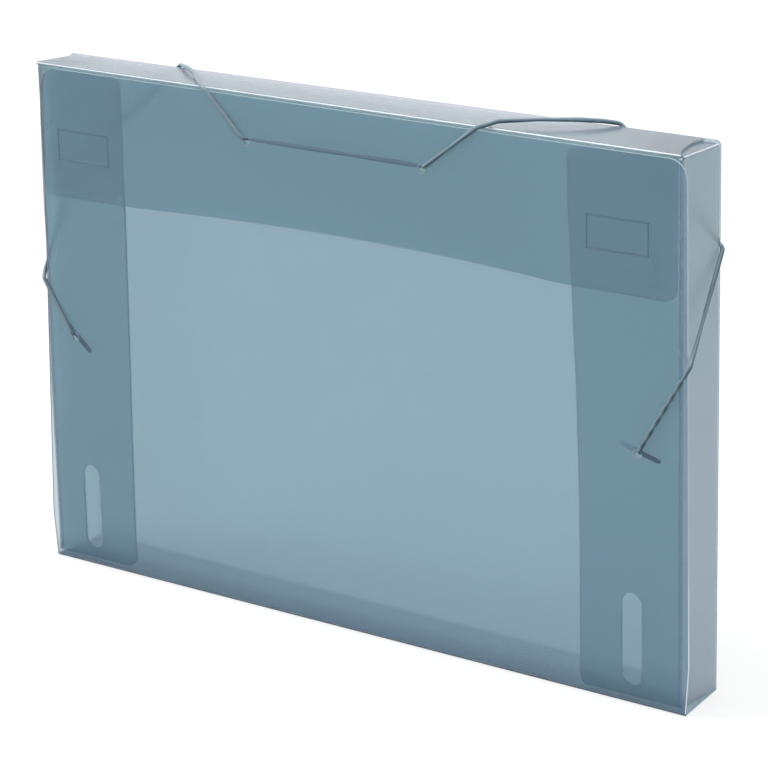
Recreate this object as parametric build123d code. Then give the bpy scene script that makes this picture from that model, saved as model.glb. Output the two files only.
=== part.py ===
from build123d import *
from math import atan2, cos, degrees, radians, sin, sqrt, tan
import os

# Elasticated box file of creased polypropylene sheet, standing on its hinge side.
# X runs along the long side, Y from the cover (front) to the back, Z up.
# The origin is the middle of the underside of the bottom wall. Millimetres.

# The tray and its sheet
box_width = 332.0
box_height = 228.0
box_depth = 31.0
sheet = 0.8
crease_gap = 0.05
layer_gap = 0.15

# The cover, which sits a little to the right of the tray and leans that way
cover_overhang = 3.5
cover_side_taper = 4.5
cover_shift = 2.3
cover_lean = 3.0
cover_drop = 1.2
cover_crease_nick = 1.5
cover_crease_nick_height = 20.0
cover_corner_radius = 8.0
cord_hole_diameter = 3.5
side_hole_inset = 18.0
side_hole_height = 106.0
top_hole_spacing = 90.4
top_hole_drop = 20.4

# The top wall and its flap
top_wall_end_cut = 5.1
top_wall_mid_cut = 3.0
top_flap_depth = 58.8
top_flap_end_inset = 1.6
top_flap_corner_radius = 6.0
tongue_inset = 27.5
tongue_width = 28.5
tongue_length = 13.6
tongue_root_drop = 28.8
kerf = 0.4

# The side walls and their flaps
side_flap_width = 48.0
side_flap_bottom = 1.5
side_flap_top_drop = 2.6
side_flap_corner_radius = 5.0
slot_inset = 21.6
slot_width = 9.8
slot_length = 39.6
slot_middle_height = 25.8
catch_side_play = 1.5
catch_leg_length = 5.7
catch_leg_lean = 10.0
back_corner_radius = 2.4
dust_flap_length = 24.0
dust_flap_corner_radius = 5.0
dust_flap_back_clearance = 1.1
swing_clearance = 0.3

# The elastic and its end bars
cord_diameter = 1.8
cord_sides = 12
cord_clearance = 0.3
cord_behind_clearance = 0.15
edge_bend_radius = 1.5
t_bar_diameter = 2.0
t_bar_length = 19.6
t_bar_end_chamfer = 0.45
t_bar_clearance = 0.15
t_bar_grip = 0.35
left_t_bar_angle = -40.0
right_t_bar_angle = -15.0

# Places worked out from the sizes above
half_width = box_width / 2
cover_front = -box_depth / 2
cover_back = cover_front + sheet
cord_room = cord_diameter + 2 * cord_behind_clearance
top_flap_front = cover_back + cord_room
side_flap_front = top_flap_front + sheet + layer_gap
back_outer = box_depth / 2
back_inner = back_outer - sheet
fold_radius = sheet / 2
fold_reach = fold_radius + crease_gap
back_axis_y = back_outer - fold_radius
front_axis_y = cover_front + fold_radius
top_front_axis_y = top_flap_front + fold_radius
top_axis_z = box_height - fold_radius
side_wall_bottom = sheet + layer_gap
side_wall_top = box_height - sheet - layer_gap
cover_bottom = fold_radius + fold_reach
cover_top = box_height - cover_drop
nick_top = cover_bottom + cover_crease_nick_height
crease_half = half_width + cover_overhang - cover_crease_nick
tongue_middle = half_width - tongue_inset
tongue_root_height = box_height - tongue_root_drop
tongue_end_height = tongue_root_height - tongue_length


def upright(outline, front):
    """A sheet parallel to the front: the outline in X and Z, its front face at Y = front."""
    return extrude(Plane.XZ.offset(-(front + sheet)) * outline, sheet)


def outline_through(points):
    """A flat face with straight sides through the points."""
    return make_face(Polyline(*points, close=True))


def rounded(outline, corners, radius):
    """The outline with the vertices nearest to the given corners rounded."""
    picked = [min(outline.vertices(), key=lambda v: (Vector(v) - Vector(*c)).length) for c in corners]
    return fillet(picked, radius)


def strip(start, end, width):
    """A thin straight cut from one point to the other."""
    run = Vector(*end) - Vector(*start)
    middle = (Vector(*start) + Vector(*end)) / 2
    angle = degrees(atan2(run.Y, run.X))
    return Pos(middle.X, middle.Y) * Rot(0, 0, angle) * Rectangle(run.length + width, width)


def back_panel():
    """The back sheet. Its rounded rim is the fold line of all four creases."""
    outline = Pos(0, box_height / 2) * Rectangle(box_width, box_height)
    tops = [(-half_width, box_height), (half_width, box_height)]
    panel = upright(rounded(outline, tops, back_corner_radius), back_inner)
    flats = panel.faces().sort_by(Axis.Y)
    rim = flats[0].edges() + flats[-1].edges()
    return fillet(rim, fold_radius * 0.99)


def folded_profile(axis, far, level):
    """Section in Y and Z of a level sheet with a round fold at the axis and a square far end."""
    far_side = Pos((axis + far) / 2, level) * Rectangle(abs(far - axis), sheet)
    return far_side + Pos(axis, level) * Circle(fold_radius)


def level_sheet(axis, far, level, reach):
    """The folded profile carried along X, to the same reach on both sides."""
    section = Plane.YZ.offset(-reach) * folded_profile(axis, far, level)
    return extrude(section, 2 * reach)


def bottom_wall():
    """The spine that the file stands on. It flares from the tray to the cover's crease."""
    wall = level_sheet(front_axis_y, back_axis_y - fold_reach, fold_radius, 2 * half_width)
    plan = [
        (-half_width, back_outer),
        (half_width, back_outer),
        (cover_shift + crease_half, cover_front),
        (cover_shift - crease_half, cover_front),
    ]
    return wall & extrude(outline_through(plan), sheet)


def top_wall():
    """The top wall. Its ends are hollow cuts that clear the side walls' folds."""
    wall = level_sheet(top_front_axis_y, back_axis_y - fold_reach, top_axis_z, half_width)
    middle_y = (top_flap_front + back_outer) / 2
    tip = (half_width, top_flap_front)
    far = (half_width - top_wall_end_cut, back_outer)
    hollow = ThreePointArc(tip, (half_width - top_wall_mid_cut, middle_y), far)
    rest = Polyline(far, (half_width, back_outer), tip)
    end_cut = extrude(Plane.XY.offset(side_wall_top) * make_face(hollow + rest), 2 * sheet)
    return wall - end_cut - mirror(end_cut, about=Plane.YZ)


def cover():
    """The front cover: widest near its hinge, with round free corners and four cord holes."""
    widest = half_width + cover_overhang
    free = widest - cover_side_taper
    points = [
        (cover_shift - crease_half, cover_bottom),
        (cover_shift + crease_half, cover_bottom),
        (cover_shift + widest, nick_top),
        (cover_shift + cover_lean + free, cover_top),
        (cover_shift + cover_lean - free, cover_top),
        (cover_shift - widest, nick_top),
    ]
    outline = rounded(outline_through(points), points[3:5], cover_corner_radius)
    for x, z in cord_holes():
        outline -= Pos(x, z) * Circle(cord_hole_diameter / 2)
    return upright(outline, cover_front)


def cord_holes():
    """The places of the four punched holes: left, top left, top right, right."""
    side, top = half_width - side_hole_inset, top_hole_spacing / 2
    top_height = box_height - top_hole_drop
    return [
        (-side, side_hole_height),
        (-top, top_height),
        (top, top_height),
        (side, side_hole_height),
    ]


def tongue_cut(middle):
    """The three-sided cut that frees a locking tongue in the top flap."""
    left, right = middle - tongue_width / 2, middle + tongue_width / 2
    corners = [
        (left, tongue_root_height),
        (left, tongue_end_height),
        (right, tongue_end_height),
        (right, tongue_root_height),
    ]
    cuts = [strip(a, b, kerf) for a, b in zip(corners, corners[1:])]
    return cuts[0] + cuts[1] + cuts[2]


def top_flap():
    """The flap that hangs from the top wall behind the cover, with a tongue near each end."""
    top = top_axis_z - fold_reach
    bottom = box_height - top_flap_depth
    half = half_width - top_flap_end_inset
    outline = Pos(0, (top + bottom) / 2) * Rectangle(2 * half, top - bottom)
    outline = rounded(outline, [(-half, bottom), (half, bottom)], top_flap_corner_radius)
    outline -= tongue_cut(-tongue_middle) + tongue_cut(tongue_middle)
    return upright(outline, top_flap_front)


def side_wall():
    """The left wall, with round outer folds at its front and top edges."""
    front, back = side_flap_front, back_axis_y - fold_reach
    points = [
        (front, side_wall_bottom),
        (back, side_wall_bottom),
        (back, side_wall_top),
        (front, side_wall_top),
    ]
    outline = rounded(outline_through(points), points[2:3], back_corner_radius)
    wall = extrude(Plane.YZ.offset(-half_width) * outline, sheet)
    outer = wall.faces().sort_by(Axis.X)[0].edges()
    folds = [outer.sort_by(Axis.Y)[0], outer.sort_by(Axis.Z)[-1]]
    return fillet(folds, sheet * 0.98)


def catch_cut(middle):
    """The slit that takes a tongue: level, with two short legs that lean outwards."""
    reach = tongue_width / 2 + catch_side_play
    drop = catch_leg_length
    lean = drop * tan(radians(catch_leg_lean))
    left, right = middle - reach, middle + reach
    low = tongue_end_height - drop
    level = strip((left, tongue_end_height), (right, tongue_end_height), kerf)
    legs = strip((left, tongue_end_height), (left - lean, low), kerf)
    return level + legs + strip((right, tongue_end_height), (right + lean, low), kerf)


def side_flap():
    """The flap on the left wall, with its obround slot and the slit for the tongue."""
    outer = -half_width + sheet + crease_gap
    inner = -half_width + side_flap_width
    top = box_height - side_flap_top_drop
    middle = ((outer + inner) / 2, (side_flap_bottom + top) / 2)
    outline = Pos(*middle) * Rectangle(inner - outer, top - side_flap_bottom)
    corners = [(inner, side_flap_bottom), (inner, top)]
    outline = rounded(outline, corners, side_flap_corner_radius)
    slot_middle = Pos(slot_inset - half_width, slot_middle_height)
    slot = slot_middle * SlotOverall(slot_length, slot_width, 90)
    return upright(outline - slot - catch_cut(-tongue_middle), side_flap_front)


def dust_flap():
    """The small flap on top of the left wall, tucked under the top wall.

    Its front edge is an arc about the wall's back crease, so it swings out with the wall.
    """
    pivot_x = -half_width + fold_radius
    swing = back_axis_y - top_flap_front - sheet - swing_clearance
    hinge_x = -half_width + sheet
    end_x = -half_width + dust_flap_length
    back_y = back_inner - dust_flap_back_clearance
    hinge_y = back_axis_y - sqrt(swing**2 - (hinge_x - pivot_x) ** 2)
    end_y = back_axis_y - sqrt(swing**2 - (end_x - pivot_x) ** 2)
    turn = radians(-50)
    bulge = (pivot_x + swing * cos(turn), back_axis_y + swing * sin(turn))
    arc = ThreePointArc((hinge_x, hinge_y), bulge, (end_x, end_y))
    rest = Polyline((end_x, end_y), (end_x, back_y), (hinge_x, back_y), (hinge_x, hinge_y))
    outline = rounded(make_face(arc + rest), [(end_x, back_y), (end_x, end_y)], dust_flap_corner_radius)
    outline = rounded(outline, [(hinge_x, back_y)], back_corner_radius - dust_flap_back_clearance)
    return extrude(Plane.XY.offset(side_wall_top - sheet) * outline, sheet)


def t_bar(place, angle):
    """The bar that holds a cord's end behind a hole of the cover."""
    y = cover_back + t_bar_clearance + t_bar_diameter / 2
    bar = Rot(0, 90, 0) * Cylinder(t_bar_diameter / 2, t_bar_length)
    bar = chamfer(bar.edges().filter_by(GeomType.CIRCLE), t_bar_end_chamfer)
    return Pos(place[0], y, place[1]) * Rot(0, -angle, 0) * bar


# Where the cord crosses the edges of the box, chosen from the object
left_edge_height = 131.0
left_fold_height = 133.0
left_back_height = 178.0
left_back_top_x = -103.5
left_fold_top_x = -72.0
left_front_top_x = -66.5
right_front_top_x = 73.0
right_fold_top_x = 75.8
right_back_top_x = 119.5
right_back_height = 185.0
right_edge_height = 145.5
front_top_drop = 1.0
arch_points = [(79.5, -10.5, 2.6), (93.0, -1.4, 3.1), (106.0, 7.4, 2.9), (114.5, 13.2, 1.9)]
hole_pull = 0.35
hole_lean = 0.55

# The cord's middle line, outside the box and behind the cover
stand_off = cord_diameter / 2 + cord_clearance
cord_front = cover_front - stand_off
cord_back = back_outer + stand_off
cord_side = half_width + stand_off
cord_top = box_height + stand_off
cord_edge_top = cord_top - front_top_drop
cord_behind = cover_back + cord_behind_clearance + cord_diameter / 2
cord_end = cover_back + t_bar_clearance + t_bar_grip


def cover_edge_x(height, side):
    """The X of the cover's left (-1) or right (1) side at a height."""
    rise = (height - nick_top) / (cover_top - nick_top)
    foot = cover_shift + side * (half_width + cover_overhang)
    return foot + (cover_lean - side * cover_side_taper) * rise


def toward(start, end, distance):
    """The point at a distance from start, in the direction of end, in X and Z."""
    run = Vector(end[0] - start[0], end[1] - start[1])
    step = run.normalized() * distance
    return start[0] + step.X, start[1] + step.Y


def edge_crossings():
    """Where the cord bends over the cover's edge: left, top left, top right, right."""
    return [
        (cover_edge_x(left_edge_height, -1) - stand_off, left_edge_height),
        (left_front_top_x, cord_edge_top),
        (right_front_top_x, cord_edge_top),
        (cover_edge_x(right_edge_height, 1) + stand_off, right_edge_height),
    ]


def hole_passes():
    """The cord's places in the four holes. Its pull keeps it off their middles."""
    return [toward(hole, edge, hole_pull) for hole, edge in zip(cord_holes(), edge_crossings())]


def cord_route():
    """The cord's corners from the left bar to the right bar, and the bend radius at each."""
    edges, passes = edge_crossings(), hole_passes()
    leans = [toward(place, edge, hole_lean) for place, edge in zip(passes, edges)]
    behind_left = toward(passes[1], passes[2], hole_lean)
    behind_right = toward(passes[2], passes[1], hole_lean)
    side_fold = side_flap_front - stand_off
    top_fold = top_flap_front - stand_off / 2
    route = [
        (passes[0][0], cord_end, passes[0][1]),
        (leans[0][0], cord_front, leans[0][1]),
        (edges[0][0], cord_front, edges[0][1]),
        (-cord_side, side_fold, left_fold_height),
        (-cord_side, cord_back, left_back_height),
        (left_back_top_x, cord_back, cord_top),
        (left_fold_top_x, top_fold, cord_top),
        (edges[1][0], cord_front, edges[1][1]),
        (leans[1][0], cord_front, leans[1][1]),
        (behind_left[0], cord_behind, behind_left[1]),
        (behind_right[0], cord_behind, behind_right[1]),
        (leans[2][0], cord_front, leans[2][1]),
        (edges[2][0], cord_front, edges[2][1]),
        (right_fold_top_x, top_fold, cord_top),
    ]
    route += [(x, y, box_height + rise) for x, y, rise in arch_points]
    route += [
        (right_back_top_x, cord_back, cord_top),
        (cord_side, cord_back, right_back_height),
        (edges[3][0], cord_front, edges[3][1]),
        (leans[3][0], cord_front, leans[3][1]),
        (passes[3][0], cord_end, passes[3][1]),
    ]
    return route, [bend(*corner) for corner in zip(route, route[1:], route[2:])]


def bend(before, corner, after):
    """The bend radius at a corner: as large as its runs allow, at most that of a box edge
    on a sharp turn."""
    run_in, run_out = Vector(*corner) - Vector(*before), Vector(*after) - Vector(*corner)
    turn = run_in.get_angle(run_out)
    allowed = 0.45 * min(run_in.length, run_out.length) / tan(radians(turn / 2))
    return min(allowed, edge_bend_radius) if turn > 45 else allowed


def elastic_cord():
    """The one cord, swept along straight runs and tangent arcs."""
    route, radii = cord_route()
    path = FilletPolyline(*route, radius=radii)
    section = Plane(origin=path @ 0, z_dir=path % 0) * RegularPolygon(cord_diameter / 2, cord_sides)
    cord = sweep(section, path=path)
    print("cord bend radii", [round(r, 2) for r in radii])
    expected = section.area * path.length
    print("cord length", round(path.length, 1), "volume share", round(cord.volume / expected, 4))
    return cord


def mirrored(piece):
    """The right-hand copy of a left-hand piece."""
    return mirror(piece, about=Plane.YZ)


left_pass, _, _, right_pass = hole_passes()
pieces = {
    "back_panel": back_panel(),
    "bottom_wall": bottom_wall(),
    "cover": cover(),
    "top_wall": top_wall(),
    "top_flap": top_flap(),
    "left_wall": side_wall(),
    "right_wall": mirrored(side_wall()),
    "left_flap": side_flap(),
    "right_flap": mirrored(side_flap()),
    "left_dust_flap": dust_flap(),
    "right_dust_flap": mirrored(dust_flap()),
    "elastic_cord": elastic_cord(),
    "left_t_bar": t_bar(left_pass, left_t_bar_angle),
    "right_t_bar": t_bar(right_pass, right_t_bar_angle),
}

os.makedirs("parts", exist_ok=True)
for node, piece in pieces.items():
    export_step(piece, f"parts/{node}.step")
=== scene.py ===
import bmesh
import bpy
import math
import numpy as np
from mathutils import Matrix, Vector

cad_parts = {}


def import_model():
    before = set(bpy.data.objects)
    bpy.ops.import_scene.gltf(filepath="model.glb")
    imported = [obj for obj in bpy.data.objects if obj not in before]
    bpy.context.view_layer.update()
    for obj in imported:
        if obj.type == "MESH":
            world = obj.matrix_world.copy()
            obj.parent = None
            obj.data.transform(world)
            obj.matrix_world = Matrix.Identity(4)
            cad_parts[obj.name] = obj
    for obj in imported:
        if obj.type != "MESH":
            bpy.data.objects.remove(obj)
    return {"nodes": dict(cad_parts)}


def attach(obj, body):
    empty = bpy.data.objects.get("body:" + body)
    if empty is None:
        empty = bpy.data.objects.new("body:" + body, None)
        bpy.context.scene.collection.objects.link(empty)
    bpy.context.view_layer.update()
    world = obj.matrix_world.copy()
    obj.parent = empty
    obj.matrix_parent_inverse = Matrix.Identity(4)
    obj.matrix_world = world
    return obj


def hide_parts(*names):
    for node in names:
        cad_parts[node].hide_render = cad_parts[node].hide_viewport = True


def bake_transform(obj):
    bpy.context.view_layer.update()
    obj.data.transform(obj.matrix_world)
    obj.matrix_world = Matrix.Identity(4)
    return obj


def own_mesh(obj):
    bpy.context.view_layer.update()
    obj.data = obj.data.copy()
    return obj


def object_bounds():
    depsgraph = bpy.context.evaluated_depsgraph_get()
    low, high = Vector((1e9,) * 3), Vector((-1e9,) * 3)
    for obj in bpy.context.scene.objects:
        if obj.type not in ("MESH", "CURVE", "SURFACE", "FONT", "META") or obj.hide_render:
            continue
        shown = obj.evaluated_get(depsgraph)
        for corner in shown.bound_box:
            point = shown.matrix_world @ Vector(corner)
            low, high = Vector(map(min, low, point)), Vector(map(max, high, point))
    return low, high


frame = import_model()
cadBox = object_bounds()
mm = 0.001


class Wire:
    # a node's output that joins in sums, so a mask is written as its formula
    def __init__(self, nodes, socket):
        self.nodes, self.socket = nodes, socket

    def sum(self, operation, first, second=None):
        values = {i: v for i, v in enumerate((first, second)) if v is not None}
        return self.nodes.add("Math", {"operation": operation}, values)

    def larger(self, other): return self.sum("MAXIMUM", self, other)
    def size(self): return self.sum("ABSOLUTE", self)
    def ramp(self, low, high): return self.nodes.add("MapRange", None, {0: self, 1: low, 2: high})
    def __add__(self, other): return self.sum("ADD", self, other)
    def __radd__(self, other): return self.sum("ADD", other, self)
    def __sub__(self, other): return self.sum("SUBTRACT", self, other)
    def __rsub__(self, other): return self.sum("SUBTRACT", other, self)
    def __mul__(self, other): return self.sum("MULTIPLY", self, other)
    def __pow__(self, other): return self.sum("POWER", self, other)


class Nodes:
    # the node tree of one new material
    def __init__(self, name):
        self.material = bpy.data.materials.new(name)
        self.material.use_nodes = True
        self.tree = self.material.node_tree
        self.tree.nodes.clear()

    def add(self, kind, settings=None, values=None, output=0):
        node = self.tree.nodes.new("ShaderNode" + kind)
        for key, value in (settings or {}).items():
            setattr(node, key, value)
        for key, value in (values or {}).items():
            self.feed(node.inputs[key], value)
        return Wire(self, node.outputs[output])

    def also(self, wire, output):
        # another output of the node that a wire comes from
        return Wire(self, wire.socket.node.outputs[output])

    def feed(self, socket, value):
        if isinstance(value, Wire):
            self.tree.links.new(value.socket, socket)
        else:
            socket.default_value = value

    def blend(self, share, first, second):
        # a colour between two, by share
        values = {"Factor": share, 6: first, 7: second}
        return self.add("Mix", {"data_type": "RGBA"}, values, 2)

    def finish(self, surface):
        output = self.tree.nodes.new("ShaderNodeOutputMaterial")
        self.tree.links.new(surface.socket, output.inputs["Surface"])
        return self.material


# The sheet: frosted polypropylene, clear enough for the layers behind to show through it.
# A rough clear part gives the blur that grows with distance, a milky part the haze.
sheetLook = {
    "tint": (0.598, 0.738, 0.775), "milk": (0.34, 0.51, 0.73), "white": (0.84, 0.92, 0.97),
    "dark": (0.22, 0.32, 0.42), "darkMilk": (0.12, 0.18, 0.27), "milkShare": 0.16, "roughness": 0.2,
    "grainScale": 900.0, "grainRelief": 0.05, "reliefDepth": 0.0001, "grain": 0.04,
    "cloudScale": 16.0, "cloud": 0.02, "clear": (1.0, 1.0, 1.0), "speckScale": 28.0, "speckReach": 0.018,
    "speckWhite": 0.35, "foldWhite": 0.0, "foldDark": 0.0, "darkening": 0.0,
    "rootHeight": 0.1992, "rootFrom": 0.1245, "rootTo": 0.1525, "rootDark": 0.0,
    "contactHeight": 0.1692, "contact": 0.0, "lowHaze": 0.0, "backHaze": 0.0,
    "shine": 0.5, "ior": 1.49, "footDark": 0.0, "footWhite": 0.0, "endDark": 0.0,
}
# Where its masks rise from 0 to 1: heights and places in m, the others as shares
masks = {
    "speckSize": (0.55, 1.0), "speckEdge": (0.0, 0.006), "speckStrength": (0.3, 0.9), "whitest": (0.0, 0.3),
    "foldWhite": (0.55, 0.95), "foldDark": (0.1, 0.9), "rootSoft": (0.0, 0.0003),
    "rootHalf": 0.0007, "rootEdge": (0.0, 0.0006), "footTop": 0.011, "paleTop": 0.07, "paleEdge": (0.0, 0.05),
    "rightEnd": (0.11, 0.135), "contactEdge": (0.0, 0.001), "backHaze": (-0.008, 0.016), "hazePower": 1.6,
    "hazeEnd": (0.07, 0.135), "lowTop": 0.19, "lowHaze": (0.0, 0.09), "lowFoot": (0.0, 0.05), "lowLeast": 0.6,
}


# The slots, catches and tongues sit a little to the left, in mm along x
slip = -1.6


def sheetMaterial(name, **changes):
    # darkening moves the tint evenly to dark, a painted shade; foldWhite raises the milk along the middle
    # of a bend (v = 0.5), stress whitening with a painted highlight, and foldDark the dark there, a painted shade;
    # rootDark draws the line that a tongue bends at; contact clears the part that lies against the sheet in front of
    # it;
    # lowHaze adds milk lower down, a painted light, and backHaze towards the back, a painted sheen;
    # footDark darkens the lowest part, a painted shade, footWhite whitens it, a painted highlight,
    # and endDark darkens the right end, a painted shade
    look = {**sheetLook, **changes}
    nodes = Nodes(name)
    place = nodes.add("TexCoord", output="Object")
    x = nodes.add("SeparateXYZ", None, {0: place})
    y, height = nodes.also(x, 1), nodes.also(x, 2)
    grain = nodes.add("TexNoise", None, {"Vector": place, "Scale": look["grainScale"], "Detail": 2.0})
    clouds = nodes.add("TexNoise", None, {"Vector": place, "Scale": look["cloudScale"], "Detail": 3.0})
    cell = nodes.add("TexVoronoi", None, {"Vector": place, "Scale": look["speckScale"]}, "Distance")
    picked = nodes.add("SeparateColor", None, {"Color": nodes.also(cell, "Color")})
    reach = picked.ramp(*masks["speckSize"]) * look["speckReach"]
    speck = (reach - cell).ramp(*masks["speckEdge"]) * nodes.also(picked, 1).ramp(*masks["speckStrength"])
    # the specks are dust; the even darkening is a painted shade
    white, dark = speck * look["speckWhite"], look["darkening"]
    # along a bend's middle: stress whitening with a painted highlight, and painted shade
    if look["foldWhite"] or look["foldDark"]:
        turn = nodes.also(nodes.add("SeparateXYZ", None, {0: nodes.add("UVMap")}), 1)
        middle = 1 - (turn - 0.5).size() * 2
        white = white + middle.ramp(*masks["foldWhite"]) * look["foldWhite"]
        dark = dark + middle.ramp(*masks["foldDark"]) * look["foldDark"]
    if look["rootDark"]:
        side = (x - slip * mm).size()
        inside = (side - look["rootFrom"]).ramp(*masks["rootSoft"]) * (look["rootTo"] - side).ramp(*masks["rootSoft"])
        away = (height - look["rootHeight"]).size()
        dark = dark + (masks["rootHalf"] - away).ramp(*masks["rootEdge"]) * inside * look["rootDark"]
    tint = (*look["tint"], 1)
    # the lowest part: darkened as painted shade, whitened as a painted highlight
    if look["footDark"] or look["footWhite"]:
        dark = dark + (masks["footTop"] - height).ramp(0.0, masks["footTop"]) * look["footDark"]
        white = white + (masks["paleTop"] - height).ramp(*masks["paleEdge"]) * look["footWhite"]
    # the right end darkened: a painted shade
    if look["endDark"]:
        dark = dark + x.ramp(*masks["rightEnd"]) * look["endDark"]
    if look["contact"]:
        touching = (height - look["contactHeight"]).ramp(*masks["contactEdge"]) * look["contact"]
        tint = nodes.blend(touching, tint, (*look["clear"], 1))
    # more milk towards the back and lower down: painted sheen and painted light
    backward = y.ramp(*masks["backHaze"]) ** masks["hazePower"]
    haze = backward * (1 - x.ramp(*masks["hazeEnd"])) * look["backHaze"]
    low = height.ramp(*masks["lowFoot"]) * (1 - masks["lowLeast"]) + masks["lowLeast"]
    haze = haze + (masks["lowTop"] - height).ramp(*masks["lowHaze"]) * low * look["lowHaze"]
    relief = nodes.add("Bump", None, {
        "Strength": look["grainRelief"], "Distance": look["reliefDepth"], "Height": grain})
    rough = look["roughness"] + (clouds - 0.5) * look["cloud"] * 2
    glassy = nodes.add("BsdfPrincipled", None, {
        "Base Color": nodes.blend(dark, tint, (*look["dark"], 1)), "Roughness": rough,
        "IOR": look["ior"], "Specular IOR Level": look["shine"], "Transmission Weight": 1.0, "Normal": relief,
    })
    pale = nodes.blend(white.ramp(*masks["whitest"]), (*look["milk"], 1), (*look["white"], 1))
    milky = nodes.add("BsdfPrincipled", None, {
        "Base Color": nodes.blend(dark, pale, (*look["darkMilk"], 1)),
        "Roughness": rough, "IOR": look["ior"], "Specular IOR Level": look["shine"], "Normal": relief,
    })
    share = look["milkShare"] + (clouds - 0.5) * look["cloud"] + (grain - 0.5) * look["grain"] + white + haze
    return nodes.finish(nodes.add("MixShader", None, {0: share, 1: glassy, 2: milky}))


# The elastic and its bars: dark blue-grey, the cord painted lighter along one side as painted light, each bar painted
# pale on one half as a painted reflection
darkLook = {
    "cord": (0.035, 0.08, 0.12), "cordLight": (0.28, 0.38, 0.44), "cordRoughness": 0.3,
    "bar": (0.005, 0.03, 0.10), "barPale": (0.42, 0.62, 0.72), "barRoughness": 0.3, "ribRelief": 0.05,
    "reliefDepth": 0.0001, "mottleScale": 700.0, "mottleLight": 0.2, "mottleRough": 0.1,
}


def darkMaterial(name, dark, light, roughness, pattern, low, high):
    # fine ribs across the piece (its own u in mm); the light colour, a painted light, where its v passes from low to
    # high
    nodes = Nodes(name)
    place = nodes.add("TexCoord", output="Object")
    mottled = nodes.add("TexNoise", None, {"Vector": place, "Scale": darkLook["mottleScale"], "Detail": 2.0})
    along = nodes.add("SeparateXYZ", None, {0: nodes.add("UVMap")})
    ribs = nodes.add("Math", {"operation": "SINE"}, {0: along * pattern})
    relief = nodes.add("Bump", None, {
        "Strength": darkLook["ribRelief"], "Distance": darkLook["reliefDepth"], "Height": ribs * 0.5 + mottled})
    lit = (nodes.also(along, 1) + (mottled - 0.5) * darkLook["mottleLight"]).ramp(low, high)
    return nodes.finish(nodes.add("BsdfPrincipled", None, {
        "Base Color": nodes.blend(lit, (*dark, 1), (*light, 1)),
        "Roughness": roughness + (mottled - 0.5) * darkLook["mottleRough"], "Normal": relief,
    }))


sheet = sheetMaterial("frostedSheet")
# the cover darkens towards its foot: a painted shade where the box stands on the floor
coverSheet = sheetMaterial("coverSheet", shine=0.2, ior=1.25, footDark=0.55, tint=(0.665, 0.758, 0.78))
# the right wall gets more milk lower down: painted light from the floor
wallSheet = sheetMaterial("wallSheet", roughness=0.34, milkShare=0.125, milk=(0.51, 0.58, 0.69), lowHaze=0.34)
tuckTint = (0.624, 0.802, 0.775)
tuckSheet = sheetMaterial("tuckSheet", tint=tuckTint, roughness=0.3, contact=0.95)
# the spine's tint darkened evenly: a painted shade under the box
spineSheet = sheetMaterial("spineSheet", darkening=0.2)
# the lid: a paler milk and more of it towards the back, a painted sheen, and a darker right end, a painted shade
lidSheet = sheetMaterial("lidSheet", milk=(0.65, 0.70, 0.82), backHaze=0.66, endDark=0.3)
# the dust flaps darkened evenly: a painted shade under the lid
dustSheet = sheetMaterial("dustSheet", darkening=0.45)
# the hole rims: a paler milk, partly stress whitening and partly a painted glint
rimWhite = sheetMaterial("punchedRim", milkShare=0.55, milk=(0.56, 0.63, 0.76))
flapSheet = sheetMaterial("flapSheet", tint=tuckTint, roughness=0.28, rootDark=0.8)
# cut edges, whiter in the lowest 70 mm: a painted highlight
cutEdge = sheetMaterial("cutEdge", milkShare=0.9, milk=(0.47, 0.55, 0.63), footWhite=0.3)
innerEdge = sheetMaterial("innerEdge", milkShare=0.92, milk=(0.26, 0.36, 0.43))
# a fold whitened along its middle: stress whitening and a painted highlight
brightFold = sheetMaterial("whitenedFold", foldWhite=0.6, milkShare=0.4, milk=(0.45, 0.56, 0.66))
# darker along the middle of the side folds: a painted shade in the crease
softFold = sheetMaterial("softFold", foldDark=0.2, milkShare=0.4, milk=(0.34, 0.47, 0.57))
# the fold at the cover's foot darkened: painted shade where the box meets the floor
darkFold = sheetMaterial("darkFold", foldDark=0.4, darkening=0.6)
# the cord: painted lighter on the side that faces up, left and forward, a painted light
cordLook = darkMaterial("cordRubber", darkLook["cord"], darkLook["cordLight"],
                        darkLook["cordRoughness"], pattern=14.0, low=0.2, high=0.8)
# the bars: one half painted pale, a painted reflection
barLook = darkMaterial("barPlastic", darkLook["bar"], darkLook["barPale"],
                       darkLook["barRoughness"], pattern=2.0, low=0.4, high=0.6)
print("materials made")


def unit(vectors):
    return vectors / np.linalg.norm(vectors, axis=-1, keepdims=True)


# Edges turning by more than this are shaded sharp, in degrees
sharpFrom = {"sheet": 16, "cord": 70, "bar": 50}


def placed(name, mesh, *materials):
    # one finished piece at the origin, its place in its mesh
    item = bpy.data.objects.new(name, mesh)
    bpy.context.scene.collection.objects.link(item)
    for material in materials:
        mesh.materials.append(material)
    mesh.shade_smooth()
    mesh.set_sharp_from_angle(angle=math.radians(sharpFrom["sheet"]))
    return item


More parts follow.
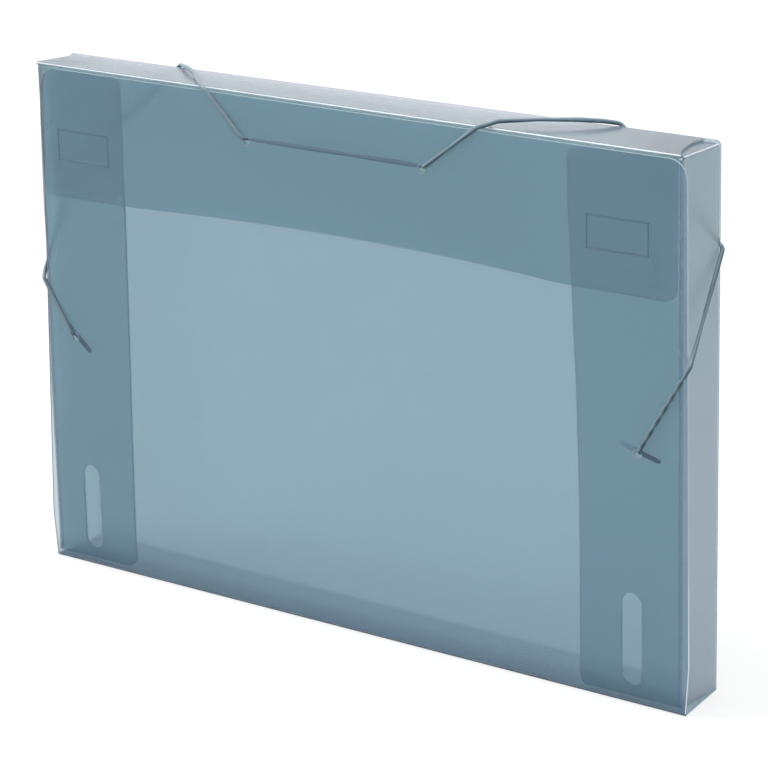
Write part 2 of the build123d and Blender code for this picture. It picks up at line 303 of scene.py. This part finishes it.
def gridMesh(name, points, around, closed=False):
    # points[i, j] is ring i, place j round the ring, in mm; quads join each ring to the next, and
    # around gives u and v of every point; the end rings are capped unless the rings form a loop
    rings, count = points.shape[:2]
    rows = np.arange(rings - 1)[:, None]
    columns = np.arange(count)[None, :]
    after = (columns + 1) % count
    quads = np.stack([rows * count + columns, rows * count + after,
                      (rows + 1) * count + after, (rows + 1) * count + columns], -1)
    faces = quads.reshape(-1, 4).tolist()
    if not closed:
        faces += [list(range(count))[::-1], list(range((rings - 1) * count, rings * count))]
    mesh = bpy.data.meshes.new(name)
    mesh.from_pydata((points.reshape(-1, 3) * mm).tolist(), [], faces)
    corners = np.empty(len(mesh.loops), int)
    mesh.loops.foreach_get("vertex_index", corners)
    mesh.uv_layers.new(name="UVMap").uv.foreach_set("vector", around.reshape(-1, 2)[corners].ravel())
    return outward(mesh)


def outward(mesh):
    work = bmesh.new()
    work.from_mesh(mesh)
    bmesh.ops.remove_doubles(work, verts=work.verts, dist=1e-7)
    bmesh.ops.recalc_face_normals(work, faces=work.faces)
    work.to_mesh(mesh)
    work.free()
    return mesh


def allOf(work):
    return work.verts[:] + work.edges[:] + work.faces[:]


def across(axis, places):
    # slicing planes across one axis (0, 1 or 2) at each place, in mm
    normal = tuple(float(k == axis) for k in range(3))
    return [(tuple(place * n for n in normal), normal) for place in places]


# How a sheet is copied: in mm the bevel of its cut edges, in degrees what is dissolved or bevelled
sheetEdges = {"bevel": 0.12, "profile": 0.6, "flatter": 0.5, "sharper": 40}


def sheetCopy(node, name, flat, looks, trims=(), slices=()):
    # a merged copy of a CAD sheet: cut back at each trim plane, its cut edges rounded by a small
    # bevel, sliced where it will be bent; faces that don't look along the flat axis are cut edge
    work = bmesh.new()
    work.from_mesh(frame["nodes"][node].data)
    bmesh.ops.remove_doubles(work, verts=work.verts, dist=2e-6)
    for point, outside in trims:
        found = bmesh.ops.bisect_plane(work, geom=allOf(work), plane_co=Vector(point) * mm,
                                       plane_no=outside, clear_outer=True)
        opened = [part for part in found["geom_cut"] if isinstance(part, bmesh.types.BMEdge)]
        bmesh.ops.edgeloop_fill(work, edges=opened)
    bmesh.ops.dissolve_limit(work, angle_limit=math.radians(sheetEdges["flatter"]),
                             verts=work.verts, edges=work.edges)
    least = math.radians(sheetEdges["sharper"])
    sharp = [edge for edge in work.edges if edge.is_manifold and edge.calc_face_angle() > least]
    bmesh.ops.bevel(work, geom=sharp, offset=sheetEdges["bevel"] * mm, segments=2, affect="EDGES",
                    profile=sheetEdges["profile"], clamp_overlap=True)
    for point, normal in slices:
        bmesh.ops.bisect_plane(work, geom=allOf(work), plane_co=Vector(point) * mm, plane_no=normal)
    bmesh.ops.recalc_face_normals(work, faces=work.faces)
    for face in work.faces:
        face.material_index = int(abs(face.normal[flat]) < 0.5)
    mesh = bpy.data.meshes.new(name)
    work.to_mesh(mesh)
    work.free()
    item = placed(name, mesh, *looks)
    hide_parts(node)
    return item


def meshPoints(mesh):
    points = np.empty(len(mesh.vertices) * 3)
    mesh.vertices.foreach_get("co", points)
    return points.reshape(-1, 3) / mm


def setPoints(mesh, points):
    mesh.vertices.foreach_set("co", (points * mm).ravel())
    mesh.update()


# The folded sheet, in mm; the places agree with the CAD source
box = {
    "halfWidth": 166.0, "height": 228.0, "front": -15.5, "back": 15.5, "sheet": 0.8,
    "topFlapFront": -12.6, "sideFlapFront": -11.65, "wallTop": 227.05, "crease": 0.4, "gap": 0.02,
    "bend": 1.1, "footBend": 0.9, "leftBend": 2.4, "rightBend": 1.1,
}
# How far each fold runs along its crease
foldEnds = {"cover": (-165.7, 170.3), "top": (-165.3, 165.3), "side": (1.5, 225.4), "sideTop": (-10.25, 13.4)}
# Where the sheets are sliced, closer together beside the creases with the back
cuts = {
    "width": range(-156, 157, 12), "height": range(12, 217, 12), "depth": (-10.2, -4, 2, 8),
    "flapWidth": range(-112, 113, 8), "flapHeight": range(175, 226, 6), "leftFold": (-160.5, -157.5, -154),
}
nearBack = box["back"] - box["crease"] - 0.7 * np.arange(6)
# The soft tray leans: its back top edge comes forward on the left and back a little on the right
lean = {"left": -5.4, "right": 1.0, "rest": -10.2, "blend": 3.0}
# The left fold bulges out behind the cover, less where the cord holds it
bulge = {
    "heights": (0, 30, 80, 110, 134, 165, 200, 226), "out": (3.0, 2.9, 3.0, 2.4, 1.6, 1.9, 1.2, 0),
    "width": 12.0,
}


def leanAt(x):
    # how far the back top edge moves in y, linear in x
    return lean["left"] + (lean["right"] - lean["left"]) * (x + box["halfWidth"]) / (2 * box["halfWidth"])


def leaned(points):
    # y moves by leanAt(x) * z/height * depth, depth from 0 behind the front folds to 1 at the back
    moved = points.copy()
    depth = np.clip((points[..., 1] - lean["rest"]) / (box["back"] - lean["rest"]), 0, 1)
    moved[..., 1] += leanAt(points[..., 0]) * points[..., 2] / box["height"] * depth
    return moved


def bulged(points):
    # near the left fold x moves out by reach(z) * in from 12 mm inside the fold * depth as above
    reach = np.interp(points[..., 2], bulge["heights"], bulge["out"])
    inside = np.clip(1 - (points[..., 0] + box["halfWidth"]) / bulge["width"], 0, 1)
    depth = np.clip((box["back"] - points[..., 1]) / (box["back"] - lean["rest"]), 0, 1)
    moved = points.copy()
    moved[..., 0] -= reach * inside * depth
    return moved


# The side flaps widen upwards, and the top wall's right end is cut back: heights or depths, and mm
flapEdge = {
    "left": ((22, 55, 78, 125, 176, 226), (-3.4, -2.9, -2.3, -1.3, -0.5, 0)),
    "right": ((35, 77, 119, 161, 186, 203, 226), (0, 0, 0.9, 2.8, 3.5, 4.4, 4.6)),
}
lidEnd = ((-12, -7.5, 1.5, 7.7, 15.5), (0, 2.6, 3.7, 4.0, 1.9))
lidEndWidth = 8
flapInner = {"place": 118, "heights": (140, 180), "fade": (18, 3.7)}
# The share of the slip, by distance from the middle and by height
slipShare = {
    "across": ((118, 121, 153.9, 159), (0, 1, 1, 0)),
    "up": ((50, 90, 150, 180, 205, 222), (1, 0, 0, 1, 1, 0)),
}


def widened(item, side):
    # the flap's inner edge moves by flapEdge(z), fading to nothing over 18 mm low down and 3.7 mm
    # beside the catch cut
    points = meshPoints(item.data)
    fade = np.interp(points[:, 2], flapInner["heights"], flapInner["fade"])
    share = np.clip(1 - (np.abs(points[:, 0]) - flapInner["place"]) / fade, 0, 1)
    points[:, 0] -= np.sign(points[:, 0]) * share * np.interp(points[:, 2], *flapEdge[side])
    setPoints(item.data, points)


def slipped(item):
    # the slot, catch and tongue move along x, and the flap's own edges stay
    points = meshPoints(item.data)
    share = np.interp(np.abs(points[:, 0]), *slipShare["across"])
    points[:, 0] += slip * share * np.interp(points[:, 2], *slipShare["up"])
    setPoints(item.data, points)


def cutBack(item):
    points = meshPoints(item.data)
    end = points[:, 0] > box["halfWidth"] - lidEndWidth
    points[end, 0] -= np.interp(points[end, 1], *lidEnd)
    setPoints(item.data, points)


def leanPiece(item):
    setPoints(item.data, bulged(leaned(meshPoints(item.data))))


def bendStrip(name, corner, first, second, along, ends, bodies, material, outer=box["bend"], steps=15):
    # a quarter ring along a crease: outer face = centre - bend*(sin a * first + cos a * second),
    # inner face the same with the inner radius, for a from 0 (flush with the first sheet) to 90 degrees
    corner, first, second, along = (np.array(v, float) for v in (corner, first, second, along))
    inner = max(outer - box["sheet"], 0.1)
    centre = corner + outer * (first + second)
    turn = np.linspace(0, 1, steps)
    arms = np.sin(turn * np.pi / 2)[:, None] * first + np.cos(turn * np.pi / 2)[:, None] * second
    profile = np.concatenate([centre - outer * arms, (centre - inner * arms)[::-1]])
    span = np.linspace(ends[0], ends[1], 41)
    points = leaned(profile[None] + span[:, None, None] * along)
    if corner[0] < 0:
        points = bulged(points)
    around = np.stack(np.broadcast_arrays(span[:, None] / 50, np.concatenate([turn, turn[::-1]])[None]), -1)
    item = placed(name, gridMesh(name, points, around), material)
    if len(bodies) == 1:
        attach(item, bodies[0])
    else:
        tuple((centre - outer * second) * mm)
        tuple((centre - outer * first) * mm)
        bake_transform(item)
    return item


def folded():
    half, top = box["halfWidth"], box["height"]
    front, flapY, sideY = box["front"], box["topFlapFront"], box["sideFlapFront"]
    reach, foot = box["bend"] + box["gap"], box["footBend"] + box["gap"]
    cover = sheetCopy("cover", "coverSheet", 1, (coverSheet, cutEdge), trims=[((0, 0, foot), (0, 0, -1))])
    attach(cover, "front_cover")
    spine = sheetCopy("bottom_wall", "spineSheet", 2, (spineSheet, innerEdge),
                      trims=[((0, front + foot, 0), (0, -1, 0))])
    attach(spine, "spine")
    bendStrip("coverBend", (0, front, 0), (0, 1, 0), (0, 0, 1), (1, 0, 0), foldEnds["cover"],
              ("spine", "front_cover"), darkFold, outer=box["footBend"])
    back = sheetCopy("back_panel", "backSheet", 1, (sheet, innerEdge),
                     slices=across(0, cuts["width"]) + across(2, cuts["height"]))
    leanPiece(back)
    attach(back, "tray_back")
    lidAndFlap(half, top, flapY, reach)
    for side, sign in (("left", -1), ("right", 1)):
        sideOfTray(side, sign, half, sideY, reach)
    print("folded sheet made")


def lidAndFlap(half, top, flapY, reach):
    lid = sheetCopy("top_wall", "topSheet", 2, (lidSheet, cutEdge), trims=[((0, flapY + reach, 0), (0, -1, 0))],
                    slices=across(0, cuts["width"]) + across(1, [*cuts["depth"], *nearBack]))
    cutBack(lid)
    leanPiece(lid)
    slope = (lean["right"] - lean["left"]) / (2 * half)
    start = np.array([0, box["back"] + leanAt(0) - box["crease"], top])
    tuple((start + lean["blend"] * unit(np.array([slope, -1, 0]))) * mm)
    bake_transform(lid)
    bendStrip("topBend", (0, flapY, top), (0, 1, 0), (0, 0, -1), (1, 0, 0), foldEnds["top"],
              ("top_side", "top_tuck_flap"), brightFold)
    flap = sheetCopy("top_flap", "topFlapSheet", 1, (flapSheet, innerEdge),
                     trims=[((0, 0, top - reach), (0, 0, 1))],
                     slices=across(0, cuts["flapWidth"]) + across(2, cuts["flapHeight"]))
    slipped(flap)
    bowFlap(flap)
    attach(flap, "top_tuck_flap")


def sideOfTray(side, sign, half, sideY, reach):
    wallTop, outer = box["wallTop"], box[f"{side}Bend"]
    fold = outer + box["gap"]
    face = {"left": sheet, "right": wallSheet}[side]
    wall = sheetCopy(f"{side}_wall", f"{side}Wall", 0, (face, innerEdge),
                     trims=[((0, sideY + fold, 0), (0, -1, 0)), ((0, 0, wallTop - reach), (0, 0, 1))],
                     slices=across(2, cuts["height"]) + across(1, [*cuts["depth"], *nearBack]))
    leanPiece(wall)
    tilt = np.array([0, -box["height"], leanAt(sign * half)])
    start = np.array([sign * half, box["back"] - box["crease"], 0])
    tuple((start + lean["blend"] * unit(tilt)) * mm)
    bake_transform(wall)
    tuck = sheetCopy(f"{side}_flap", f"{side}FlapSheet", 1, (tuckSheet, innerEdge),
                     trims=[((sign * (half - fold), 0, 0), (sign, 0, 0))],
                     slices=across(2, cuts["height"]) + across(0, cuts["leftFold"]))
    slipped(tuck)
    widened(tuck, side)
    leanPiece(tuck)
    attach(tuck, f"{side}_tuck_flap")
    bendStrip(f"{side}Bend", (sign * half, sideY, 0), (0, 1, 0), (-sign, 0, 0), (0, 0, 1),
              foldEnds["side"], (f"{side}_side", f"{side}_tuck_flap"), softFold, outer=outer)
    bendStrip(f"{side}TopBend", (sign * half, 0, wallTop), (0, 0, -1), (-sign, 0, 0), (0, 1, 0),
              foldEnds["sideTop"], (f"{side}_side",), brightFold)
    dust = sheetCopy(f"{side}_dust_flap", f"{side}DustFlap", 2, (dustSheet, innerEdge),
                     trims=[((sign * (half - reach), 0, 0), (sign, 0, 0))], slices=across(1, cuts["depth"]))
    leanPiece(dust)
    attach(dust, f"{side}_side")


# The top flap hangs free between the side flaps and curves into the box there
flapBow = {"depth": 10.5, "middle": -5.0, "half": 114.0, "top": 226.6, "drop": 57.4, "power": 1.25}


def bowFlap(item):
    # y moves in by depth * (1 - u^2) * v^power, u sideways from the middle, v down from the fold
    points = meshPoints(item.data)
    sideways = np.clip((points[:, 0] - flapBow["middle"]) / flapBow["half"], -1, 1)
    down = np.clip((flapBow["top"] - points[:, 2]) / flapBow["drop"], 0, 1)
    points[:, 1] += flapBow["depth"] * (1 - sideways ** 2) * down ** flapBow["power"]
    setPoints(item.data, points)


# The elastic: one cord from bar to bar, in mm, with a close pair of points at each turn
elastic = {
    "around": 28, "step": 0.5, "standOff": 0.95, "behind": -13.7, "end": -14.1,
    "pull": 1.35, "lean": 1.0, "edgeTurn": 2.4, "holeTurn": 3.6, "lit": (-0.60, -0.22, 0.77),
    "inward": 1.6, "tighten": 6, "squeeze": 0.3, "squeezeReach": 2.2, "coverDepth": (0.3, 0.6),
    "coverTop": 226, "coverHalf": 160,
}
# Its two strands: the offset and radius of each and their turns per mm, by run
strands = {
    "plain": {"offset": 0.24, "radius": 0.70, "turns": 1 / 90},
    "twisted": {"offset": 0.48, "radius": 0.49, "turns": 1 / 13.0},
}
cordHoles = [(-148.0, 106.0), (-45.2, 207.6), (45.2, 207.6), (148.0, 106.0)]


def toward(start, end, distance):
    start, end = np.array(start, float), np.array(end, float)
    return start + unit(end - start) * distance


def cordRoute():
    # the corners from the left bar to the right bar, and how far each bend reaches
    gap = elastic["standOff"]
    front, back, behind, end = box["front"] - gap, box["back"] + gap, elastic["behind"], elastic["end"]
    side, top = box["halfWidth"] + gap, box["height"] + gap
    sideFold, topFold = box["sideFlapFront"] - gap, box["topFlapFront"] - gap / 2
    edges = [(-163.2 - gap, 131.5), (-66.5, 228.1), (73.0, 228.1), (171.7 + gap, 146.0)]
    passes = [toward(h, e, elastic["pull"]) for h, e in zip(cordHoles, edges)]
    leans = [toward(p, e, elastic["lean"]) for p, e in zip(passes, edges)]
    inward = elastic["inward"]
    inner = [toward(passes[1], passes[2], inward), toward(passes[2], passes[1], inward)]
    small, large = elastic["edgeTurn"], elastic["holeTurn"]
    corners = [
        ((passes[0][0], end, passes[0][1]), 0), ((leans[0][0], front, leans[0][1]), large),
        ((edges[0][0], front, edges[0][1]), small), ((-side, sideFold, 133.5), small),
        ((-side, back, 178.0), small), ((-103.5, back, top), small),
        ((-95.0, 9.0, 230.0), 5.0), ((-84.5, 0.5, 229.8), 5.0),
        ((-72.0, topFold, top), small), ((edges[1][0], front, edges[1][1]), small),
        ((leans[1][0], front, leans[1][1]), large), ((inner[0][0], behind, inner[0][1]), large),
        ((inner[1][0], behind, inner[1][1]), large), ((leans[2][0], front, leans[2][1]), large),
        ((edges[2][0], front, edges[2][1]), small), ((75.8, topFold, top), small),
        ((79.5, -10.5, 230.4), 2.0), ((93.0, -1.4, 230.9), 6.0),
        ((106.0, 7.4, 230.7), 6.0), ((113.8, 12.6, 230.0), 4.0),
        ((119.5, back, top), 4.0), ((side - 0.2, back - 0.5, 185.0), small),
        ((edges[3][0], front, edges[3][1]), small),
        ((leans[3][0], front, leans[3][1]), large), ((passes[3][0], end, passes[3][1]), 0),
    ]
    return leaned(np.array([c[0] for c in corners])), np.array([c[1] for c in corners[1:-1]], float)


def rounded(corners, reach):
    # a point before, at and after each corner, at most 0.4 of the run away
    before, after = corners[1:-1] - corners[:-2], corners[2:] - corners[1:-1]
    reachIn = np.minimum(reach, 0.4 * np.linalg.norm(before, axis=1))[:, None]
    reachOut = np.minimum(reach, 0.4 * np.linalg.norm(after, axis=1))[:, None]
    turns = np.stack([corners[1:-1] - unit(before) * reachIn, corners[1:-1],
                      corners[1:-1] + unit(after) * reachOut], 1)
    return np.concatenate([corners[:1], turns.reshape(-1, 3), corners[-1:]])


def smoothPath(name, points, resolution=12):
    # the points as a NURBS line of order 3, read back as a polyline
    curve = bpy.data.curves.new(name, "CURVE")
    curve.dimensions = "3D"
    line = curve.splines.new("NURBS")
    line.points.add(len(points) - 1)
    line.points.foreach_set("co", np.column_stack([points, np.ones(len(points))]).ravel())
    line.order_u, line.use_endpoint_u, line.resolution_u = 3, True, resolution
    item = bpy.data.objects.new(name, curve)
    mesh = bpy.data.meshes.new_from_object(item)
    path = np.empty(len(mesh.vertices) * 3)
    mesh.vertices.foreach_get("co", path)
    bpy.data.meshes.remove(mesh)
    bpy.data.objects.remove(item)
    bpy.data.curves.remove(curve)
    return path.reshape(-1, 3)


def evenly(path, step):
    lengths = np.concatenate([[0], np.cumsum(np.linalg.norm(np.diff(path, axis=0), axis=1))])
    keep = np.concatenate([[True], np.diff(lengths) > 1e-9])
    path, lengths = path[keep], lengths[keep]
    places = np.linspace(0, lengths[-1], int(round(lengths[-1] / step)) + 1)
    return np.stack([np.interp(places, lengths, path[:, k]) for k in range(3)], 1), places


def carried(path):
    # frames that turn with the path and never twist about it
    forward = unit(np.gradient(path, axis=0))
    sideways = np.empty_like(forward)
    sideways[0] = unit(np.cross(forward[0], (0.3, 0.2, 1.0)))
    for i in range(1, len(path)):
        kept = sideways[i - 1] - forward[i] * (sideways[i - 1] @ forward[i])
        sideways[i] = kept / np.linalg.norm(kept)
    return forward, sideways, np.cross(forward, sideways)


def elasticCord():
    # the outline of two strands side by side: r(a) = d|cos a| + sqrt(radius^2 - d^2 sin(a)^2),
    # turned about the path by the strands' twist; the lower right run is twisted tightly
    corners, reach = cordRoute()
    path, places = evenly(smoothPath("cordPath", rounded(corners, reach)), elastic["step"])
    print("elastic length mm", round(places[-1], 1), "rings", len(places))
    forward, sideways, upward = carried(path)
    start = places[np.argmin(np.linalg.norm(path - corners[-3], axis=1))]
    tight = np.clip((places - start) / elastic["tighten"], 0, 1)
    plain, twisted = strands["plain"], strands["twisted"]
    value = {key: plain[key] + (twisted[key] - plain[key]) * tight for key in plain}
    twist = 2 * np.pi * np.cumsum(value["turns"]) * (places[1] - places[0])
    angle = np.linspace(0, 2 * np.pi, elastic["around"], endpoint=False)[None, :]
    offset, radius = value["offset"][:, None], value["radius"][:, None]
    out = offset * np.abs(np.cos(angle)) + np.sqrt(radius ** 2 - (offset * np.sin(angle)) ** 2)
    # only in the holes: behind the cover's face and inside its edges
    outside, length = elastic["coverDepth"]
    depth = np.clip((path[:, 1] - box["front"] + outside) / length, 0, 1)
    depth = depth * (path[:, 2] < elastic["coverTop"]) * (np.abs(path[:, 0]) < elastic["coverHalf"])
    nearHole = np.min([np.linalg.norm(path[:, ::2] - np.array(h), axis=1) for h in cordHoles], axis=0)
    out = out * (1 - elastic["squeeze"] * depth * np.exp(-(nearHole / elastic["squeezeReach"]) ** 2))[:, None]
    laid = angle + twist[:, None]
    points = path[:, None] + out[..., None] * (
        np.cos(laid)[..., None] * sideways[:, None] + np.sin(laid)[..., None] * upward[:, None])
    # painted light: v is higher on the side of the cord that faces up, left and forward, where the light colour is
    # painted
    facing = unit(points - path[:, None]) @ np.array(elastic["lit"])
    around = np.stack(np.broadcast_arrays(places[:, None], 0.5 + 0.5 * facing), -1)
    item = placed("elasticCord", gridMesh("elasticCord", points, around), cordLook)
    item.data.set_sharp_from_angle(angle=math.radians(sharpFrom["cord"]))
    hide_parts("elastic_cord")
    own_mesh(item)
    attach(item, "front_cover")


# The end bars: a round bar that thins a little to its rounded ends, with a crimp at its middle
bars = {"half": 9.8, "radius": 0.98, "thin": 0.14, "tip": 1.1, "crimp": 1.6, "crimpDepth": 0.14, "y": -13.55,
        "left": (-148.19, 106.29, -40.0), "right": (148.18, 106.30, -15.0)}


def endBar(side):
    # radius(t) = r * (1 - thin * (t/half)^2 - crimpDepth * exp(-(t/crimp)^4)), closed by
    # quarter-ellipse tips
    half, tip = bars["half"], bars["tip"]
    x, z, angle = bars[side]
    turn = np.linspace(0, np.pi / 2, 9)
    ends = half - tip + tip * np.sin(turn)
    t = np.concatenate([-ends[::-1], np.linspace(-half + tip, half - tip, 41)[1:-1], ends])
    closing = np.sqrt(np.clip(1 - (np.clip(np.abs(t) - half + tip, 0, None) / tip) ** 2, 0.0004, None))
    pinch = bars["crimpDepth"] * np.exp(-(t / bars["crimp"]) ** 4)
    radius = bars["radius"] * (1 - bars["thin"] * (t / half) ** 2 - pinch) * closing
    around = np.linspace(0, 2 * np.pi, 24, endpoint=False)
    along = np.array([math.cos(math.radians(angle)), 0, math.sin(math.radians(angle))])
    upright, depth = np.array([-along[2], 0, along[0]]), np.array([0, 1.0, 0])
    ring = np.cos(around)[:, None] * upright + np.sin(around)[:, None] * depth
    points = np.array([x, bars["y"], z]) + t[:, None, None] * along + radius[:, None, None] * ring
    u = np.repeat(t[:, None], len(around), axis=1)
    # painted reflection: v reaches 1 on the half of the bar where u is below zero, which is painted pale
    uv = np.stack([u, np.clip(-u, 0, 1)], -1)
    item = placed(f"{side}Bar", gridMesh(f"{side}Bar", points, uv), barLook)
    item.data.set_sharp_from_angle(angle=math.radians(sharpFrom["bar"]))
    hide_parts(f"{side}_t_bar")
    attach(item, "front_cover")


# The rims round the cord holes, in mm
rims = {"radius": 1.75, "width": 0.4, "height": 0.1, "sunk": 0.02}


def holeRims():
    # the punch left a low rim round each hole: a half round of that height on the cover's face, pale as stress
    # whitening and as a painted glint
    turn = np.linspace(0, 2 * np.pi, 41)[:, None, None]
    arc = np.linspace(0, np.pi, 7)[None, :, None]
    for number, (x, z) in enumerate(cordHoles):
        out = rims["radius"] + rims["width"] * (0.5 - 0.5 * np.cos(arc))
        high = box["front"] - rims["height"] * np.sin(arc) + rims["sunk"]
        points = np.concatenate([x + out * np.cos(turn), high + 0 * turn, z + out * np.sin(turn)], 2)
        around = np.stack(np.broadcast_arrays(turn[..., 0], arc[..., 0]), -1)
        item = placed(f"holeRim{number}", gridMesh(f"holeRim{number}", points, around, closed=True), rimWhite)
        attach(item, "front_cover")


folded()
holeRims()
elasticCord()
endBar("left")
endBar("right")
print("elastic and bars made")


# The studio: a white surround, a pale floor, one large soft lamp from above left and a fill
studio = {
    "diffuseLevel": 0.8, "floorGlow": 0.66, "paper": 0.42, "floorReach": 6.0, "floorDrop": 0.0002,
}
# Power, size, place and target of each lamp
lamps = {
    "softKey": (16.0, 0.9, (-0.9, -0.45, 1.9), (0, 0, 0.1)),
    "softFill": (1.5, 0.3, (0.95, 0.0, 0.1), (0.166, 0, 0.07)),
}
# The camera fitted to the photograph: focal length in its pixels, angles in degrees, the rest in mm
photo = {
    "focal": 3341.6, "pixels": 768, "sensor": 36, "angles": (37.5, 17.4, -1.4),
    "target": (23.7, -15.5, 113.7), "distance": 1379.4,
}


def world():
    made = bpy.data.worlds.new("studioSurround")
    bpy.context.scene.world = made
    made.use_nodes = True
    tree = made.node_tree
    tree.nodes.clear()
    path = tree.nodes.new("ShaderNodeLightPath")
    level = studio["diffuseLevel"]
    soft = tree.nodes.new("ShaderNodeBackground")
    soft.inputs["Color"].default_value = (level, level, level, 1)
    white = tree.nodes.new("ShaderNodeBackground")
    white.inputs["Color"].default_value = (1, 1, 1, 1)
    seen = tree.nodes.new("ShaderNodeMath")
    seen.operation = "MAXIMUM"
    tree.links.new(path.outputs["Is Camera Ray"], seen.inputs[0])
    tree.links.new(path.outputs["Is Glossy Ray"], seen.inputs[1])
    either = tree.nodes.new("ShaderNodeMath")
    either.operation = "MAXIMUM"
    tree.links.new(seen.outputs[0], either.inputs[0])
    tree.links.new(path.outputs["Is Transmission Ray"], either.inputs[1])
    mix = tree.nodes.new("ShaderNodeMixShader")
    tree.links.new(either.outputs[0], mix.inputs[0])
    tree.links.new(soft.outputs[0], mix.inputs[1])
    tree.links.new(white.outputs[0], mix.inputs[2])
    out = tree.nodes.new("ShaderNodeOutputWorld")
    tree.links.new(mix.outputs[0], out.inputs["Surface"])


def floor():
    mesh = bpy.data.meshes.new("studioFloor")
    reach = studio["floorReach"]
    corners = [(-reach, -reach, 0), (reach, -reach, 0), (reach, reach, 0), (-reach, reach, 0)]
    mesh.from_pydata(corners, [], [(0, 1, 2, 3)])
    item = bpy.data.objects.new("studioFloor", mesh)
    bpy.context.scene.collection.objects.link(item)
    item.location.z = cadBox[0][2] - studio["floorDrop"]
    nodes = Nodes("floorPaper")
    paper = nodes.add("BsdfDiffuse", None, {"Color": (*[studio["paper"]] * 3, 1)})
    path = nodes.add("LightPath")
    seen = nodes.also(path, "Is Camera Ray").larger(nodes.also(path, "Is Glossy Ray"))
    seen = seen.larger(nodes.also(path, "Is Transmission Ray"))
    glow = nodes.add("Emission", None, {"Strength": seen * studio["floorGlow"]})
    mesh.materials.append(nodes.finish(nodes.add("AddShader", None, {0: paper, 1: glow})))


def lamp(name, power, size, place, target):
    light = bpy.data.lights.new(name, "AREA")
    light.energy, light.size = power, size
    item = bpy.data.objects.new(name, light)
    bpy.context.scene.collection.objects.link(item)
    item.location = place
    item.rotation_euler = (Vector(target) - Vector(place)).to_track_quat("-Z", "Y").to_euler()


def camera():
    data = bpy.data.cameras.new("photoCamera")
    data.sensor_width, data.lens = photo["sensor"], photo["focal"] / photo["pixels"] * photo["sensor"]
    item = bpy.data.objects.new("photoCamera", data)
    bpy.context.scene.collection.objects.link(item)
    azimuth, elevation, roll = (math.radians(a) for a in photo["angles"])
    level = math.cos(elevation)
    forward = Vector((-math.sin(azimuth) * level, math.cos(azimuth) * level, -math.sin(elevation)))
    right = Vector((math.cos(azimuth), math.sin(azimuth), 0))
    up = right.cross(forward)
    rolledRight = right * math.cos(roll) + up * math.sin(roll)
    rolledUp = up * math.cos(roll) - right * math.sin(roll)
    place = Vector(photo["target"]) * mm - forward * photo["distance"] * mm
    turned = Matrix((rolledRight, rolledUp, -forward)).transposed().to_4x4()
    item.matrix_world = Matrix.Translation(place) @ turned
    data.clip_start, data.clip_end = 0.05, 50
    bpy.context.scene.camera = item


world()
floor()
for name, settings in lamps.items():
    lamp(name, *settings)
camera()
bpy.context.scene.view_settings.view_transform = "Standard"
print("studio made")
